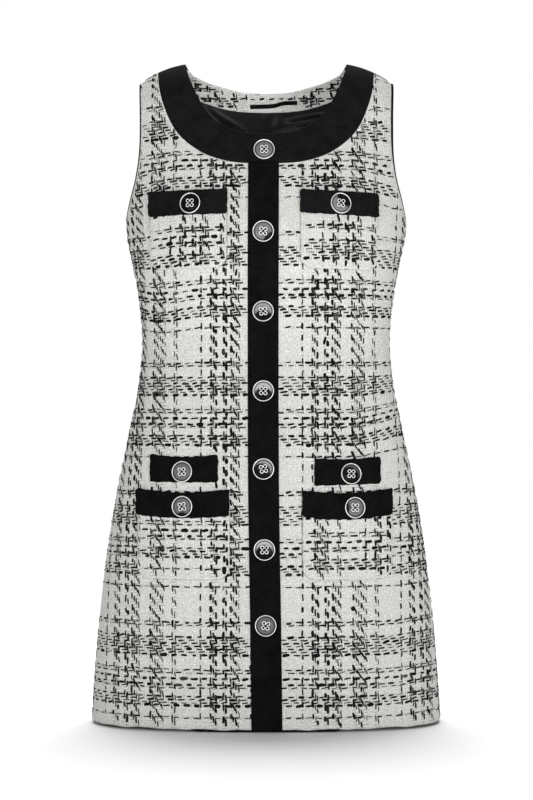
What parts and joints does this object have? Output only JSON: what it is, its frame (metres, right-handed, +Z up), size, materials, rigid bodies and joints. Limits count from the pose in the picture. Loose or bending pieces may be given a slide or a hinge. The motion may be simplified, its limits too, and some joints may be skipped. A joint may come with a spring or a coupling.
{
  "type": "sleeveless shift dress",
  "caption": "Sleeveless short shift dress in black and ivory checked tweed with black neck band, placket and pocket bands, buttons and a lining, in its worn hollow form.",
  "frame": {"origin": "midway between the two shoulder seams, where the dress hangs from the wearer's shoulders", "axes": "+Z up along the wearer, -Y out of the front, +X to the wearer's left"},
  "size_m": [0.4472, 0.2462, 0.8435],
  "materials": {
    "tweed": "matte loose twill tweed, ivory with black yarns",
    "black_band": "matte black woven trim",
    "lining": "black satin",
    "button": "dark dished face with a pale metal rim"
  },
  "bodies": {
    "root": {"front": "tweed", "back": "tweed", "chest_pocket_left": "tweed", "chest_pocket_right": "tweed", "hip_pocket_left": "tweed", "hip_pocket_right": "tweed", "back_neck_facing": "tweed", "neck_band_front": "black_band", "neck_band_back": "black_band", "placket_band": "black_band", "chest_band_left": "black_band", "chest_band_right": "black_band", "hip_band_left": "black_band", "hip_band_right": "black_band", "upper_hip_band_left": "black_band", "upper_hip_band_right": "black_band", "armhole_binding_left": "black_band", "armhole_binding_right": "black_band", "lining_front": "lining", "lining_back": "lining", "hanger_loop": "lining", "button_neck": "button", "button_front_1": "button", "button_front_2": "button", "button_front_3": "button", "button_front_4": "button", "button_front_5": "button", "button_front_6": "button", "button_chest_left": "button", "button_chest_right": "button", "button_upper_hip_left": "button", "button_upper_hip_right": "button", "button_hip_left": "button", "button_hip_right": "button"}
  },
  "joints": []
}
